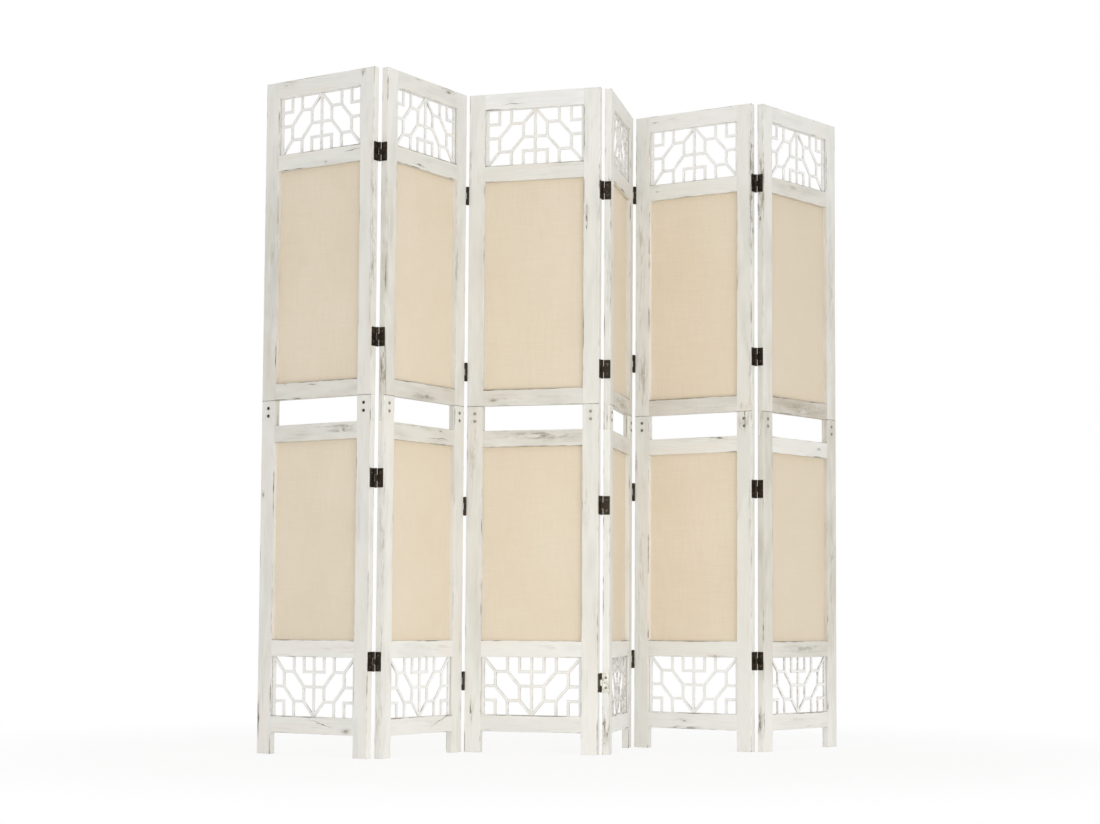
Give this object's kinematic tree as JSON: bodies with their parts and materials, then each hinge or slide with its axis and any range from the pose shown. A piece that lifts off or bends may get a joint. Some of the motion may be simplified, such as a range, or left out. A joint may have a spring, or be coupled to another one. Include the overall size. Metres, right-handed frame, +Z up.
{
  "type": "folding screen",
  "caption": "Free-standing folding room divider of hinged wooden frames with stretched fabric fields and pierced lattice boards.",
  "frame": {"origin": "on the floor, under the middle of the zigzag's bounding box", "axes": "+Z up, +X along the screen from the first to the last panel, -Y towards the front, where the first joint points"},
  "size_m": [1.5308, 0.3657, 1.65],
  "materials": {
    "whitewashed_wood": "off-white wash over solid softwood, rubbed back to grey at edges, knots and cracks",
    "fabric": "plain woven cream fabric, stretched",
    "aged_bronze": "dark bronze-coloured steel hinges, pins, screws and bolts, lightly rubbed"
  },
  "bodies": {
    "panel_1": {"panel_1_upper_stiles": "whitewashed_wood", "panel_1_lower_stiles": "whitewashed_wood", "panel_1_upper_rails": "whitewashed_wood", "panel_1_lower_rails": "whitewashed_wood", "panel_1_lattices": "whitewashed_wood", "panel_1_fabrics": "fabric", "panel_1_fabric_beads": "whitewashed_wood", "panel_1_hinge_leaves": "aged_bronze", "panel_1_fasteners": "aged_bronze", "joint_1_hinge_pins": "aged_bronze"},
    "panel_2": {"panel_2_upper_stiles": "whitewashed_wood", "panel_2_lower_stiles": "whitewashed_wood", "panel_2_upper_rails": "whitewashed_wood", "panel_2_lower_rails": "whitewashed_wood", "panel_2_lattices": "whitewashed_wood", "panel_2_fabrics": "fabric", "panel_2_fabric_beads": "whitewashed_wood", "panel_2_hinge_leaves": "aged_bronze", "panel_2_fasteners": "aged_bronze", "joint_2_hinge_pins": "aged_bronze"},
    "panel_3": {"panel_3_upper_stiles": "whitewashed_wood", "panel_3_lower_stiles": "whitewashed_wood", "panel_3_upper_rails": "whitewashed_wood", "panel_3_lower_rails": "whitewashed_wood", "panel_3_lattices": "whitewashed_wood", "panel_3_fabrics": "fabric", "panel_3_fabric_beads": "whitewashed_wood", "panel_3_hinge_leaves": "aged_bronze", "panel_3_fasteners": "aged_bronze", "joint_3_hinge_pins": "aged_bronze"},
    "panel_4": {"panel_4_upper_stiles": "whitewashed_wood", "panel_4_lower_stiles": "whitewashed_wood", "panel_4_upper_rails": "whitewashed_wood", "panel_4_lower_rails": "whitewashed_wood", "panel_4_lattices": "whitewashed_wood", "panel_4_fabrics": "fabric", "panel_4_fabric_beads": "whitewashed_wood", "panel_4_hinge_leaves": "aged_bronze", "panel_4_fasteners": "aged_bronze", "joint_4_hinge_pins": "aged_bronze"},
    "panel_5": {"panel_5_upper_stiles": "whitewashed_wood", "panel_5_lower_stiles": "whitewashed_wood", "panel_5_upper_rails": "whitewashed_wood", "panel_5_lower_rails": "whitewashed_wood", "panel_5_lattices": "whitewashed_wood", "panel_5_fabrics": "fabric", "panel_5_fabric_beads": "whitewashed_wood", "panel_5_hinge_leaves": "aged_bronze", "panel_5_fasteners": "aged_bronze", "joint_5_hinge_pins": "aged_bronze"},
    "panel_6": {"panel_6_upper_stiles": "whitewashed_wood", "panel_6_lower_stiles": "whitewashed_wood", "panel_6_upper_rails": "whitewashed_wood", "panel_6_lower_rails": "whitewashed_wood", "panel_6_lattices": "whitewashed_wood", "panel_6_fabrics": "fabric", "panel_6_fabric_beads": "whitewashed_wood", "panel_6_hinge_leaves": "aged_bronze", "panel_6_fasteners": "aged_bronze"}
  },
  "joints": [
    {"name": "fold_1", "type": "hinge", "parent": "panel_1", "child": "panel_2", "pos_m": [-0.53326, -0.16847, 0], "axis": [0, 0, 1], "range_deg": [-94, 86]},
    {"name": "fold_2", "type": "hinge", "parent": "panel_2", "child": "panel_3", "pos_m": [-0.25944, 0.04989, 0], "axis": [0, 0, -1], "range_deg": [-77, 103]},
    {"name": "fold_3", "type": "hinge", "parent": "panel_3", "child": "panel_4", "pos_m": [0.0421, -0.12823, 0], "axis": [0, 0, 1], "range_deg": [-97, 83]},
    {"name": "fold_4", "type": "hinge", "parent": "panel_4", "child": "panel_5", "pos_m": [0.22472, 0.1706, 0], "axis": [0, 0, -1], "range_deg": [-112.5, 67.5]},
    {"name": "fold_5", "type": "hinge", "parent": "panel_5", "child": "panel_6", "pos_m": [0.4677, -0.08163, 0], "axis": [0, 0, 1], "range_deg": [-84.5, 95.5]}
  ]
}
